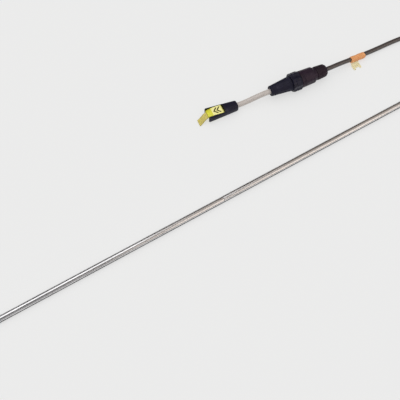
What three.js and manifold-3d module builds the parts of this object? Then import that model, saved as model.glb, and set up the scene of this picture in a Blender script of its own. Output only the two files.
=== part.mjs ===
// A sectional avalanche probe, laid out flat: six aluminium tubes on one tension cable, two of them
// joined and four folded into a bundle, with the cable's lock and pull handle drawn out at the top end.
// Millimetres, +Z up. Inside this file X runs along the joined tubes from the tip side to the top
// mouth, which is at X = 0. The finished group is moved so that the box's bottom centre is the origin.
import * as THREE from 'three';
import { mergeVertices } from 'three/addons/utils/BufferGeometryUtils.js';
import Module from 'manifold-3d';

const wasm = await Module();
wasm.setup();

// ---- driving dimensions ----
const GAP = 0.3;                      // clearance between touching pieces
const TUBE_R = 5;                     // probe tube, outside radius
const BORE_R = 4.25;                  // probe tube, inside radius
const SECTION = 400;                  // tube length of one section
const TUBE_SIDES = 32;

const FERRULE_R = 4.15;               // joining sleeve that plugs into the next tube
const FERRULE_BORE_R = 3.3;
const FERRULE_OUT = 35;               // length that stands out of its tube
const FERRULE_IN = 30;                // length fixed inside its tube
const CORE_R = 1.5;                   // steel tension cable
const CORE_SPARE = 62;                // cable of section 1 that runs on inside section 2

const BUNDLE_PITCH = 20;              // distance between folded tubes
const LINK_REACH = 15;                // straight distance from a fold's pivot to each mouth
const BUNDLE_START = BUNDLE_PITCH / 2;

const TIP_LENGTH = 32;
const LAST_TUBE = SECTION - TIP_LENGTH; // the tip and its tube are as long as the other sections
const TIP_STUD = 18;                  // part of the tip's stud inside section 6

const SHEATH_R = 3.85;                // dark jacketed stretch of cable
const LEAD_R = 4.4;                   // pale sleeved stretch between lock and handle

const LOCK_START = [-227.7, 128.5];   // nose end of the lock, in plan
const LOCK_YAW = -6;                  // degrees about Z
const LOCK_Z = 15.2;                  // height of the lock's axis: its collar stands on a flat
const LOCK_LENGTH = 105;
const LOCK_BORE_R = 4.7;
const NOSE_LENGTH = 37.9;
const COLLAR_START = 38.2;
const COLLAR_END = 54.6;
const COLLAR_BORE_R = 10.8;
const COLLAR_CORNER_R = 16.35;        // distance of the collar's corners from its axis
const COLLAR_FLATS = 8;
const COLLET_BORE_R = 4.8;
const SLIT_WIDTH = 1;                 // slits that let the clamp collet close
const SLIT_START = 26;
const SPRING_R = 7.65;
const SPRING_WIRE_R = 0.45;
const SPRING_START = 89.2;
const SPRING_END = 102.6;
const SPRING_TURNS = 5;

const HANDLE_START = [-339, 145.8];   // open, wide end of the handle, in plan
const HANDLE_YAW = -9.1;
const HANDLE_LENGTH = 53;
const HANDLE_Z = 8;
const HANDLE_WIDE = 24;
const HANDLE_NARROW = 16.4;
const HANDLE_HEIGHT = 16;
const SLOT_WIDTH = 17.2;
const SLOT_DEPTH = 29.6;
const PIN_AT = 23.4;                  // cross pin, from the open end
const PIN_R = 2;
const PIN_REACH = 9.9;                // half the pin's length
const STOP_POCKET = 11;               // pocket for the cable's crimp, behind the slot

const TAB_WIDTH = 16.6;
const TAB_HUB_R = 5.6;
const STRAP_WIDTH = 12.6;
const STRAP_THICK = 1.8;
const STRAP_LEAN = 0.28;              // sideways drift of the hanging strap, per millimetre along X

const MARKER_R = 5.7;                 // orange sleeve on the sheath
const MARKER_BORE_R = 4.15;
const MARKER_SAG = 1.1;               // how far the sleeve's outside stands to one side of its bore
const MARKER_FROM = 0.6965;           // shares of the sheath's length between which the sleeve sits
const MARKER_TO = 0.7655;
const FILM_THICK = 0.7;

// ---- materials ----
const finish = (color, roughness, metalness) => () =>
  new THREE.MeshStandardMaterial({ color, roughness, metalness });
const aluminium = finish(0xb9b9bc, 0.3, 0.95);
const darkAlloy = finish(0x77797d, 0.4, 0.9);
const steel = finish(0x8f8f90, 0.35, 0.95);
const brass = finish(0xb59a55, 0.35, 0.9);
const blackPlastic = finish(0x26242c, 0.55, 0);
const blackRubber = finish(0x1d1b20, 0.8, 0);
const sheathPlastic = finish(0x5b5048, 0.5, 0);
const leadPlastic = finish(0xbfb4aa, 0.45, 0);
const yellowPlastic = finish(0xe6dc3a, 0.5, 0);
const yellowWebbing = finish(0xcdbb55, 0.9, 0);
const orangeSleeve = finish(0xd98a50, 0.6, 0);
const paleFilm = finish(0xe8dfa0, 0.4, 0);

// ---- shape helpers ----
const probe = new THREE.Group();

function addPiece(name, geometry, material, parent = probe) {
  const mesh = new THREE.Mesh(geometry, material());
  mesh.name = name;
  parent.add(mesh);
  return mesh;
}

function placedGroup(x, y, z, yawDegrees) {
  const group = new THREE.Group();
  group.position.set(x, y, z);
  group.rotation.z = THREE.MathUtils.degToRad(yawDegrees);
  probe.add(group);
  return group;
}

// A solid of revolution about X. Each profile point is [x, radius], going round clockwise.
function turned(profile, sides = TUBE_SIDES) {
  const points = profile.map(([x, r]) => new THREE.Vector2(r, x));
  return new THREE.LatheGeometry(points, sides).rotateZ(-Math.PI / 2);
}

// A straight sleeve about X.
function sleeve(x0, x1, outer, inner, sides = TUBE_SIDES) {
  return turned([[x0, inner], [x0, outer], [x1, outer], [x1, inner], [x0, inner]], sides);
}

// A straight rod about X.
function rod(x0, x1, radius, sides = 12) {
  return turned([[x0, 0], [x0, radius], [x1, radius], [x1, 0]], sides);
}

function circle(radius, sides) {
  const corners = [];
  for (let i = 0; i < sides; i += 1) {
    const angle = (i / sides) * 2 * Math.PI;
    corners.push(new THREE.Vector2(radius * Math.cos(angle), radius * Math.sin(angle)));
  }
  return new THREE.Shape(corners);
}

function ringSection(outer, inner, sides) {
  const shape = circle(outer, sides);
  shape.holes.push(circle(inner, sides));
  return shape;
}

function along(curve, section, steps) {
  return new THREE.ExtrudeGeometry(section, { steps, extrudePath: curve, bevelEnabled: false });
}

function smooth(points) {
  return new THREE.CatmullRomCurve3(points.map((p) => new THREE.Vector3(...p)), false, 'centripetal');
}

// An outline in the X-Z plane, given as [x, z] points, extruded across Y about the middle.
function sidePlate(shape, width) {
  const geometry = new THREE.ExtrudeGeometry(shape, { depth: width, bevelEnabled: false, curveSegments: 10 });
  return geometry.rotateX(Math.PI / 2).translate(0, width / 2, 0);
}

function box(x0, x1, y0, y1, z0, z1) {
  const geometry = new THREE.BoxGeometry(x1 - x0, y1 - y0, z1 - z0);
  return geometry.translate((x0 + x1) / 2, (y0 + y1) / 2, (z0 + z1) / 2);
}

function toSolid(geometry) {
  const bare = geometry.clone();
  bare.deleteAttribute('normal');
  bare.deleteAttribute('uv');
  const merged = mergeVertices(bare, 1e-4);
  return new wasm.Manifold(new wasm.Mesh({
    numProp: 3,
    vertProperties: new Float32Array(merged.attributes.position.array),
    triVerts: new Uint32Array(merged.index.array),
  }));
}

function cut(geometry, ...tools) {
  let solid = toSolid(geometry);
  for (const tool of tools) {
    solid = solid.subtract(toSolid(tool));
  }
  const mesh = solid.getMesh();
  const result = new THREE.BufferGeometry();
  result.setAttribute('position', new THREE.Float32BufferAttribute(mesh.vertProperties, 3));
  result.setIndex(new THREE.Uint32BufferAttribute(mesh.triVerts, 1));
  result.computeVertexNormals();
  return result;
}

// A closed skin through rings of points, each ring the same length and counter-clockwise about +X.
function lofted(rings) {
  const count = rings[0].length;
  const positions = rings.flat(2);
  const index = [];
  for (let ring = 0; ring < rings.length - 1; ring += 1) {
    for (let i = 0; i < count; i += 1) {
      const a = ring * count + i;
      const b = ring * count + ((i + 1) % count);
      index.push(a, b, b + count, a, b + count, a + count);
    }
  }
  const last = (rings.length - 1) * count;
  for (let i = 1; i < count - 1; i += 1) {
    index.push(0, i + 1, i);
    index.push(last, last + i, last + i + 1);
  }
  const geometry = new THREE.BufferGeometry();
  geometry.setAttribute('position', new THREE.Float32BufferAttribute(positions, 3));
  geometry.setIndex(index);
  geometry.computeVertexNormals();
  geometry.setAttribute('uv', new THREE.Float32BufferAttribute(new Float32Array(positions.length / 3 * 2), 2));
  return geometry;
}

// A rounded rectangle in the Y-Z plane at x, with its bottom at z = 0.
function roundedRing(x, width, height, radius, perCorner = 6) {
  const ring = [];
  const centres = [[1, 1, 0], [-1, 1, 90], [-1, -1, 180], [1, -1, 270]];
  for (const [sy, sz, start] of centres) {
    for (let i = 0; i <= perCorner; i += 1) {
      const angle = THREE.MathUtils.degToRad(start + (90 * i) / perCorner);
      const y = sy * (width / 2 - radius) + radius * Math.cos(angle);
      const z = height / 2 + sz * (height / 2 - radius) + radius * Math.sin(angle);
      ring.push([x, y, z]);
    }
  }
  return ring;
}

// ---- probe sections ----
// Each section is drawn about X, its tube from x = 0 down to x = -SECTION, its upper end at x = 0.
function sectionGroup(x, y, headingDegrees) {
  return placedGroup(x, y, TUBE_R, headingDegrees);
}

function addTube(number, group, length = SECTION) {
  addPiece(`section_${number}_tube`, sleeve(-length, 0, TUBE_R, BORE_R), aluminium, group);
}

function addFerrule(number, group) {
  const chamfer = 1;
  const profile = [
    [-FERRULE_IN, FERRULE_BORE_R],
    [-FERRULE_IN, FERRULE_R],
    [FERRULE_OUT - chamfer, FERRULE_R],
    [FERRULE_OUT, FERRULE_R - chamfer / 2],
    [FERRULE_OUT, FERRULE_BORE_R],
    [-FERRULE_IN, FERRULE_BORE_R],
  ];
  addPiece(`section_${number}_ferrule`, turned(profile), darkAlloy, group);
}

function addCore(number, group, from, to) {
  addPiece(`section_${number}_cable`, rod(from, to, CORE_R), steel, group);
}

function addTopSection() {
  const group = sectionGroup(0, 0, 0);
  const coreEnd = 1.5;
  addTube(1, group);
  addCore(1, group, -SECTION - CORE_SPARE, coreEnd);
  addMouthBush(group);
}

function addMouthBush(group) {
  const lip = 1.2;
  const bushLength = 8;
  const bore = CORE_R + GAP;
  const profile = [
    [-bushLength, bore],
    [-bushLength, BORE_R - 0.1],
    [GAP, BORE_R - 0.1],
    [GAP, TUBE_R],
    [GAP + lip - 0.4, TUBE_R],
    [GAP + lip, TUBE_R - 0.4],
    [GAP + lip, bore],
    [-bushLength, bore],
  ];
  addPiece('mouth_bush', turned(profile), blackPlastic, group);
}

function addSecondSection() {
  const group = sectionGroup(-SECTION - GAP, 0, 0);
  addTube(2, group);
  addFerrule(2, group);
  addCore(2, group, -SECTION + GAP, -CORE_SPARE - GAP);
}

// Sections 3 to 6 lie side by side across the end of section 2, each folded back on the one before.
const FIRST_FOLD_X = -2 * SECTION - GAP - LINK_REACH;
const LOW_PIVOT_Y = BUNDLE_START;
const FERRULE_Y_LOW = LOW_PIVOT_Y + LINK_REACH;
const HIGH_MOUTH_Y = FERRULE_Y_LOW + FERRULE_OUT + SECTION;
const HIGH_PIVOT_Y = HIGH_MOUTH_Y + LINK_REACH;

function bundleX(number) {
  return FIRST_FOLD_X - BUNDLE_START - (number - 3) * BUNDLE_PITCH;
}

function addBundledSection(number) {
  const opensLow = number % 2 === 1;
  const upperEndY = opensLow ? FERRULE_Y_LOW + FERRULE_OUT : HIGH_MOUTH_Y - FERRULE_OUT;
  const group = sectionGroup(bundleX(number), upperEndY, opensLow ? -90 : 90);
  const isLast = number === 6;
  const length = isLast ? LAST_TUBE : SECTION;
  const coreEnd = isLast ? TIP_STUD + 2 * GAP : GAP;
  addTube(number, group, length);
  addFerrule(number, group);
  addCore(number, group, -length + coreEnd, FERRULE_OUT - GAP);
  if (isLast) {
    addTip(group);
  }
}

function addTip(group) {
  const end = -LAST_TUBE;
  const neck = end - 4;
  const spigot = end - 14;
  const spigotBore = 2.5;
  const profile = [
    [end - TIP_LENGTH, 0],
    [end - TIP_LENGTH + 0.6, 1.1],
    [end - TIP_LENGTH + 12, 3.1],
    [neck - 6, TUBE_R],
    [neck, TUBE_R],
    [neck + 1, TUBE_R - 0.5],
    [end - GAP, TUBE_R - 0.5],
    [end - GAP, spigotBore],
    [spigot, spigotBore],
    [spigot, 0],
  ];
  addPiece('probe_tip', turned(profile), steel, group);
  const stud = [
    [spigot + 1, 0],
    [spigot + 1, spigotBore - 0.2],
    [end + GAP, spigotBore - 0.2],
    [end + GAP, BORE_R - 0.1],
    [end + TIP_STUD, BORE_R - 0.1],
    [end + TIP_STUD, 0],
  ];
  addPiece('tip_stud', turned(stud), brass, group);
}

// ---- the cable bared at each fold ----
// A path in plan about a pivot: a straight lead-in, an arc of half the bundle's pitch, a straight lead-out.
function bentPath(pivot, leadIn, startDegrees, endDegrees, leadOut) {
  const arcSteps = 8;
  const local = [leadIn];
  for (let i = 0; i <= arcSteps; i += 1) {
    const angle = THREE.MathUtils.degToRad(startDegrees + ((endDegrees - startDegrees) * i) / arcSteps);
    local.push([BUNDLE_START * Math.cos(angle), BUNDLE_START * Math.sin(angle)]);
  }
  local.push(leadOut);
  return smooth(local.map(([x, y]) => [pivot[0] + x, pivot[1] + y, TUBE_R]));
}

function addFoldLink(from, path, steps) {
  addPiece(`fold_link_${from}_${from + 1}`, along(path, circle(CORE_R, 8), steps), steel);
}

function addFoldLinks() {
  const r = BUNDLE_START;
  const reach = LINK_REACH - GAP;
  addFoldLink(2, bentPath([FIRST_FOLD_X, LOW_PIVOT_Y], [reach, -r], 270, 180, [-r, reach]), 14);
  for (let from = 3; from < 6; from += 1) {
    const high = from % 2 === 1;
    const pivot = [bundleX(from) - r, high ? HIGH_PIVOT_Y : LOW_PIVOT_Y];
    const side = high ? -reach : reach;
    addFoldLink(from, bentPath(pivot, [r, side], 0, high ? 180 : -180, [-r, side]), 24);
  }
}

// ---- cable lock, drawn about X from its nose at x = 0 ----
function addLockShell(group) {
  const nose = [
    [0, LOCK_BORE_R],
    [0, 7.9],
    [0.8, 8.8],
    [NOSE_LENGTH - 1, 12.5],
    [NOSE_LENGTH, 12.5],
    [NOSE_LENGTH, 8.3],
    [10, 8.3],
    [8, LOCK_BORE_R],
    [0, LOCK_BORE_R],
  ];
  addPiece('lock_nose', turned(nose), blackRubber, group);
  const barrel = [
    [18, 6.7],
    [18, 8],
    [COLLAR_START, 8],
    [COLLAR_START, COLLAR_BORE_R - GAP],
    [COLLAR_END + GAP, COLLAR_BORE_R - GAP],
    [COLLAR_END + GAP, 14.5],
    [59.4, 14.5],
    [59.7, 13.8],
    [60.9, 13.8],
    [61.2, 14.4],
    [79.5, 13.8],
    [81.5, 11.6],
    [85, 11.4],
    [85, 6.4],
    [103.1, 6.4],
    [103.1, 5.5],
    [51, 5.5],
    [51, 6.7],
    [18, 6.7],
  ];
  addPiece('lock_barrel', turned(barrel), blackPlastic, group);
  addPiece('lock_end_cap', sleeve(103.4, LOCK_LENGTH, 8.6, 5.6), blackPlastic, group);
  addPiece('guide_bush', sleeve(52, 90, 5.3, LOCK_BORE_R), brass, group);
}

function addLockCollar(group) {
  const halfFlat = Math.acos(LOCK_Z / COLLAR_CORNER_R);
  const points = [];
  for (let flat = 0; flat < COLLAR_FLATS; flat += 1) {
    for (const side of [-halfFlat, halfFlat]) {
      const angle = (flat / COLLAR_FLATS) * 2 * Math.PI + side;
      points.push(new THREE.Vector2(COLLAR_CORNER_R * Math.cos(angle), COLLAR_CORNER_R * Math.sin(angle)));
    }
  }
  const shape = new THREE.Shape(points);
  shape.holes.push(circle(COLLAR_BORE_R, TUBE_SIDES));
  const depth = COLLAR_END - COLLAR_START;
  const geometry = new THREE.ExtrudeGeometry(shape, { depth, bevelEnabled: false });
  geometry.rotateY(Math.PI / 2).translate(COLLAR_START, 0, 0);
  addPiece('lock_collar', geometry, blackPlastic, group);
}

function addClamp(group) {
  const outer = 6.4;
  const collet = [
    [20, COLLET_BORE_R],
    [20, outer],
    [34, outer],
    [40, 5.5],
    [40, COLLET_BORE_R],
    [20, COLLET_BORE_R],
  ];
  const half = SLIT_WIDTH / 2;
  const slits = [
    box(SLIT_START, COLLAR_END, -half, half, -outer, outer),
    box(SLIT_START, COLLAR_END, -outer, outer, -half, half),
  ];
  addPiece('clamp_collet', cut(turned(collet), ...slits), brass, group);
  const wedge = [
    [42.4, 5.9],
    [42.4, outer],
    [50.7, outer],
    [50.7, COLLET_BORE_R],
    [48, COLLET_BORE_R],
    [42.4, 5.9],
  ];
  addPiece('wedge_ring', turned(wedge), steel, group);
}

function addRelease(group) {
  const ring = [
    [85.4, 6.7],
    [85.4, 11.3],
    [86.4, 11.8],
    [101.2, 10.9],
    [103, 10.1],
    [103, 8.9],
    [88.4, 8.9],
    [88.4, 6.7],
    [85.4, 6.7],
  ];
  addPiece('release_ring', turned(ring), blackRubber, group);
  addSpring(group);
}

function addSpring(group) {
  const perTurn = 12;
  const steps = SPRING_TURNS * perTurn;
  const coil = [];
  for (let i = 0; i <= steps; i += 1) {
    const x = SPRING_START + ((SPRING_END - SPRING_START) * i) / steps;
    const angle = (i / perTurn) * 2 * Math.PI;
    coil.push([x, SPRING_R * Math.cos(angle), SPRING_R * Math.sin(angle)]);
  }
  addPiece('release_spring', along(smooth(coil), circle(SPRING_WIRE_R, 6), steps), steel, group);
}

// ---- pull handle, drawn along X from its open end at x = 0, standing on z = 0 ----
function addHandleBody(group) {
  const stations = [
    [0, HANDLE_WIDE - 1.6, 5.2],
    [1.2, HANDLE_WIDE, 6],
    [HANDLE_LENGTH - 2, HANDLE_NARROW, 7],
    [HANDLE_LENGTH, HANDLE_NARROW - 2, 6.2],
  ];
  const rings = stations.map(([x, width, radius]) => roundedRing(x, width, HANDLE_HEIGHT, radius));
  const slot = box(-1, SLOT_DEPTH, -SLOT_WIDTH / 2, SLOT_WIDTH / 2, -1, HANDLE_HEIGHT + 1);
  const pocketEnd = SLOT_DEPTH + STOP_POCKET;
  const pocket = rod(SLOT_DEPTH - 1, pocketEnd, 4, 24).translate(0, 0, HANDLE_Z);
  const bore = rod(pocketEnd - 1, HANDLE_LENGTH + 1, LEAD_R + GAP, 24).translate(0, 0, HANDLE_Z);
  const pinHole = acrossHandle(rod(-HANDLE_WIDE, HANDLE_WIDE, PIN_R + GAP, 24));
  addPiece('handle_body', cut(lofted(rings), slot, pocket, bore, pinHole), blackPlastic, group);
}

// Turns a shape drawn about X to lie across the handle, on the cross pin's axis.
function acrossHandle(geometry) {
  return geometry.rotateZ(Math.PI / 2).translate(PIN_AT, 0, HANDLE_Z);
}

function addHandleFittings(group) {
  const pin = acrossHandle(rod(-PIN_REACH, PIN_REACH, PIN_R, 20));
  addPiece('handle_cross_pin', pin, steel, group);
  const start = SLOT_DEPTH + 1.4;
  const end = SLOT_DEPTH + STOP_POCKET;
  const crimp = [[start, 0], [start, 2.6], [start + 1, 3.6], [end, 3.6], [end, 0]];
  addPiece('cable_crimp', turned(crimp, 20).translate(0, 0, HANDLE_Z), brass, group);
}

function addPullTab(group) {
  const tab = new THREE.Shape();
  tab.moveTo(0.6, 7.2);
  tab.lineTo(8, 2.8);
  tab.lineTo(PIN_AT, HANDLE_Z - TAB_HUB_R);
  tab.absarc(PIN_AT, HANDLE_Z, TAB_HUB_R, -Math.PI / 2, Math.PI / 2, false);
  tab.lineTo(10, 13.3);
  tab.lineTo(0.6, 10.6);
  tab.closePath();
  tab.holes.push(new THREE.Path().absarc(PIN_AT, HANDLE_Z, PIN_R + GAP, 0, 2 * Math.PI, true));
  addPiece('pull_tab', sidePlate(tab, TAB_WIDTH), yellowPlastic, group);
}

function addPullStrap(group) {
  const middle = [[0.3, 8.9], [-3, 8.5], [-6, 7], [-9, 4.8], [-12, 2.6], [-14.5, 1.3], [-16.6, 1]];
  const top = middle.map(([x, z]) => new THREE.Vector2(x, z + STRAP_THICK / 2));
  const bottom = middle.map(([x, z]) => new THREE.Vector2(x, z - STRAP_THICK / 2));
  const strap = new THREE.Shape([...top, ...bottom.reverse()]);
  const lean = new THREE.Matrix4().makeShear(STRAP_LEAN, 0, 0, 0, 0, 0);
  addPiece('pull_strap', sidePlate(strap, STRAP_WIDTH).applyMatrix4(lean), yellowWebbing, group);
}

// ---- free cable ----
// The sheath's way from inside the top mouth, round a wide turn and back over the table to the lock.
const SHEATH_ROUTE = [
  [1.8, 0, 5],
  [10, 0, 5],
  [20, 0.3, 4.9],
  [33, 1.4, 4.7],
  [50, 5.8, 4.3],
  [67, 14, 4.1],
  [81, 27, 4],
  [91, 43, 4],
  [94, 61, 4],
  [89, 80, 4],
  [76, 96, 4],
  [57, 106.5, 4],
  [36, 111, 4],
  [14, 113.2, 4],
  [-8, 114.3, 4.1],
  [-26, 115, 4.7],
  [-42, 115.6, 5.9],
  [-58, 116, 7.6],
  [-74, 116.2, 9.8],
  [-90, 116.4, 12.3],
  [-104, 116.4, 14.2],
  [-114, 116.7, 15],
  [-123.28, 117.53, 15.2],
  [-140.2, 119.3, 15.2],
  [-168.03, 122.23, 15.2],
];

// The pale lead's way from the crimp in the handle to the middle of the lock.
const LEAD_ROUTE = [
  [-298.4, 139.3, 8],
  [-287, 137.45, 8],
  [-280, 136.3, 8.2],
  [-270, 134.8, 9.2],
  [-258, 133.1, 11.3],
  [-246, 131.2, 13.6],
  [-236, 129.6, 14.9],
  [-227.7, 128.5, 15.2],
  [-200, 125.59, 15.2],
  [-168.4, 122.27, 15.2],
];

function addFreeCable() {
  const sheath = smooth(SHEATH_ROUTE);
  addPiece('cable_sheath', along(sheath, circle(SHEATH_R, 10), 56), sheathPlastic);
  addPiece('cable_lead', along(smooth(LEAD_ROUTE), circle(LEAD_R, 10), 26), leadPlastic);

  addMarkerSleeve(sheath);
}

// A path of its own over one stretch of a longer curve, between two shares of the curve's length.
function stretchOf(curve, from, to, steps) {
  const points = [];
  for (let i = 0; i <= steps; i += 1) {
    points.push(curve.getPointAt(from + ((to - from) * i) / steps));
  }
  return new THREE.CatmullRomCurve3(points, false, 'centripetal');
}

function addMarkerSleeve(sheath) {
  const steps = 6;
  const overrun = 0.01;
  const outside = along(stretchOf(sheath, MARKER_FROM, MARKER_TO, steps), circle(MARKER_R, 20), steps);
  const inside = stretchOf(sheath, MARKER_FROM - overrun, MARKER_TO + overrun, steps);
  const bore = along(inside, circle(MARKER_BORE_R, 16), steps);
  addPiece('marker_sleeve', cut(outside.translate(0, -MARKER_SAG, 0), bore), orangeSleeve);
}

// A film tag that drops from the sleeve to the table, drawn in the Y-Z plane and cut into two legs.
function addMarkerTab() {
  const group = placedGroup(-73.5, 99, 0, -3);
  const width = 14.5;
  const line = [[0, 0.5], [5, 0.5], [8.2, 1.2], [10.2, 2.5], [11.6, 4.1]];
  const half = FILM_THICK / 2;
  const top = line.map(([y, z]) => new THREE.Vector2(y, z + half));
  const bottom = line.map(([y, z]) => new THREE.Vector2(y, z - half));
  const shape = new THREE.Shape([...bottom, ...top.reverse()]);
  const film = new THREE.ExtrudeGeometry(shape, { depth: width, bevelEnabled: false });
  film.rotateX(Math.PI / 2).rotateZ(Math.PI / 2);
  const notch = box(3.4, width - 3.4, -1, 3.5, -1, 2);
  addPiece('marker_tab', cut(film, notch), paleFilm, group);
}

// ---- assembly ----
addTopSection();
addSecondSection();
for (let number = 3; number <= 6; number += 1) {
  addBundledSection(number);
}
addFoldLinks();

const lock = placedGroup(...LOCK_START, LOCK_Z, LOCK_YAW);
addLockShell(lock);
addLockCollar(lock);
addClamp(lock);
addRelease(lock);

const handle = placedGroup(...HANDLE_START, 0, HANDLE_YAW);
addHandleBody(handle);
addHandleFittings(handle);
addPullTab(handle);
addPullStrap(handle);

addFreeCable();
addMarkerTab();

// The free cable and what is on it don't count in the box whose bottom centre is the origin.
function centreOnTable(group, leftOut) {
  group.updateMatrixWorld(true);
  const box = new THREE.Box3();
  group.traverse((object) => {
    if (object.isMesh && !leftOut.includes(object.name)) {
      box.union(new THREE.Box3().setFromObject(object, true));
    }
  });
  const centre = box.getCenter(new THREE.Vector3());
  group.position.set(-centre.x, -centre.y, -box.min.z);
}

centreOnTable(probe, ['cable_sheath', 'cable_lead', 'marker_sleeve', 'marker_tab']);

export default probe;
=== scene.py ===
"""Avalanche probe laid out flat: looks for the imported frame. Blender works in metres; shapes here are
drawn in millimetres in the layout frame, whose origin is on the table under the top tube's mouth."""

import math
import random

import bmesh
import bpy
import numpy as np
from mathutils import Matrix, Vector


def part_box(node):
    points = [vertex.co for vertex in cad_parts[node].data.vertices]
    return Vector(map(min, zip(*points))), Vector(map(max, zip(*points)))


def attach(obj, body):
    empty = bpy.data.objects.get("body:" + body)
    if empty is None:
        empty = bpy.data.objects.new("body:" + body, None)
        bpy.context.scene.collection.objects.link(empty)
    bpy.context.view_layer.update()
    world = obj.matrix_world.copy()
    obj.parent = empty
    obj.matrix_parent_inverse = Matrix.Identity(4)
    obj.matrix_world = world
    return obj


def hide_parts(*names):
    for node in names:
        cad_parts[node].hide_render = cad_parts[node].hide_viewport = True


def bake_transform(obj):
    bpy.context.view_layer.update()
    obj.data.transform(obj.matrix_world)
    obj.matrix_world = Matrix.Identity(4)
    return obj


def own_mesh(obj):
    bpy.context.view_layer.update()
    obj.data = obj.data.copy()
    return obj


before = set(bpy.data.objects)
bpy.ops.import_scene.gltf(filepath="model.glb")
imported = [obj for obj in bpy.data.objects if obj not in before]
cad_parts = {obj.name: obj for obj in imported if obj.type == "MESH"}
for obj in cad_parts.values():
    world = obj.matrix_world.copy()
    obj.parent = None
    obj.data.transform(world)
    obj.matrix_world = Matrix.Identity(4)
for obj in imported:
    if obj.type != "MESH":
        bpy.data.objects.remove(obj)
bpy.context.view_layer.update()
MM = 0.001

# ---- driving dimensions, in millimetres and degrees, as the CAD model has them ----
TUBE_R = 5.0
BORE_R = 4.25
SECTION = 400.0
GAP = 0.3
FERRULE_R = 4.15
FERRULE_BORE_R = 3.3
FERRULE_OUT = 35.0
FERRULE_IN = 30.0
CORE_R = 1.5
BUNDLE_PITCH = 20.0
LINK_REACH = 15.0
TIP_LENGTH = 32.0
LAST_TUBE = SECTION - TIP_LENGTH
SHEATH_R = 3.85
LEAD_R = 4.4
LOCK_START = (-227.7, 128.5, 15.2)
LOCK_YAW = -6.0
LOCK_BORE_R = 4.7
LOCK_LENGTH = 105.0
NOSE_LENGTH = 37.9
COLLAR_START = 38.2
COLLAR_END = 54.6
BARREL_END = 85.0
CAP_START = 103.4
HANDLE_START = (-339.0, 145.8, 0.0)
HANDLE_YAW = -9.1
HANDLE_LENGTH = 53.0
HANDLE_Z = 8.0
SLOT_WIDTH = 17.2
PIN_AT = 23.4
PIN_R = 2.0
PIN_HOLE_R = 2.3
PIN_REACH = 9.9
TAB_WIDTH = 16.6
TAB_HUB_R = 5.6
TAB_FRONT = 0.6
TAB_SHOULDER = 10.0
STRAP_WIDTH = 12.6
STRAP_THICK = 1.7

# ---- frames ----
tube_low, tube_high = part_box("section_1_tube")
MOUTH = Vector((tube_high[0], (tube_low[1] + tube_high[1]) / 2, 0.0))
LAYOUT = Matrix.Translation(MOUTH) @ Matrix.Scale(MM, 4)


def placed(x, y, z, yaw):
    """A frame in the layout, turned by yaw degrees about Z."""
    return LAYOUT @ Matrix.Translation((x, y, z)) @ Matrix.Rotation(math.radians(yaw), 4, "Z")


LOCK = placed(*LOCK_START, LOCK_YAW)
HANDLE = placed(*HANDLE_START, HANDLE_YAW)
HANDLE_AXIS = HANDLE @ Matrix.Translation((0, 0, HANDLE_Z))
PIN_AXIS = HANDLE @ (Matrix.Translation((PIN_AT, 0, HANDLE_Z)) @ Matrix.Rotation(math.pi / 2, 4, "Z"))

# ---- camera ----
CAMERA_TARGET = LAYOUT @ Vector((-429.6, 20.1, 0.0))
CAMERA_AZIMUTH = math.radians(-31.57)
CAMERA_ELEVATION = math.radians(60.0)
CAMERA_DISTANCE = 1.338
CAMERA_LENS = 77.7


def make_camera():
    data = bpy.data.cameras.new("camera")
    data.lens = CAMERA_LENS
    data.sensor_width = 36.0
    camera = bpy.data.objects.new("camera", data)
    bpy.context.scene.collection.objects.link(camera)
    flat = math.cos(CAMERA_ELEVATION)
    back = Vector((
        math.sin(CAMERA_AZIMUTH) * flat,
        -math.cos(CAMERA_AZIMUTH) * flat,
        math.sin(CAMERA_ELEVATION),
    ))
    camera.location = CAMERA_TARGET + back * CAMERA_DISTANCE
    camera.rotation_mode = "QUATERNION"
    camera.rotation_quaternion = (-back).to_track_quat("-Z", "Y")
    data.clip_start = 0.05
    data.clip_end = 100.0
    bpy.context.scene.camera = camera


make_camera()


# ---- mesh helpers ----
def new_piece(name, vertices, faces, frame_matrix=LAYOUT, sharp=35.0):
    """A mesh object whose vertices are given in frame_matrix's own millimetres."""
    mesh = bpy.data.meshes.new(name)
    mesh.from_pydata([tuple(v) for v in vertices], [], faces)
    mesh.transform(frame_matrix)
    mesh.update()
    tidy = bmesh.new()
    tidy.from_mesh(mesh)
    bmesh.ops.remove_doubles(tidy, verts=tidy.verts, dist=1e-7)
    bmesh.ops.recalc_face_normals(tidy, faces=tidy.faces)
    tidy.to_mesh(mesh)
    tidy.free()
    mesh.shade_smooth()
    if sharp:
        mesh.set_sharp_from_angle(angle=math.radians(sharp))
    piece = bpy.data.objects.new(name, mesh)
    bpy.context.scene.collection.objects.link(piece)
    return piece


def finish_piece(piece, body, slot, material, *nodes):
    """Gives a piece its material, the body it rides on and the nodes it stands in for; slot is not used.
    """
    piece.data.materials.append(material)
    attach(piece, body)
    if nodes:
        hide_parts(*nodes)
    return piece


def node_material(node, material):
    """Gives a carried-over CAD node its material."""
    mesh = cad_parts[node].data
    mesh.materials.clear()
    mesh.materials.append(material)


def rounded(profile, closed):
    """Rounds the corners of a profile of [x, r, corner radius] points with short arcs."""
    result = []
    count = len(profile)
    for i, (x, r, radius) in enumerate(profile):
        here = np.array([x, r], float)
        ends = not closed and i in (0, count - 1)
        if radius <= 0 or ends:
            result.append((x, r))
            continue
        before = np.array(profile[i - 1][:2], float) - here
        after = np.array(profile[(i + 1) % count][:2], float) - here
        reach = min(radius, 0.45 * np.linalg.norm(before), 0.45 * np.linalg.norm(after))
        a = here + before / np.linalg.norm(before) * reach
        b = here + after / np.linalg.norm(after) * reach
        steps = 4
        for k in range(steps + 1):
            t = k / steps
            point = (1 - t) ** 2 * a + 2 * t * (1 - t) * here + t ** 2 * b
            result.append((float(point[0]), float(point[1])))
    return result


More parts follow.
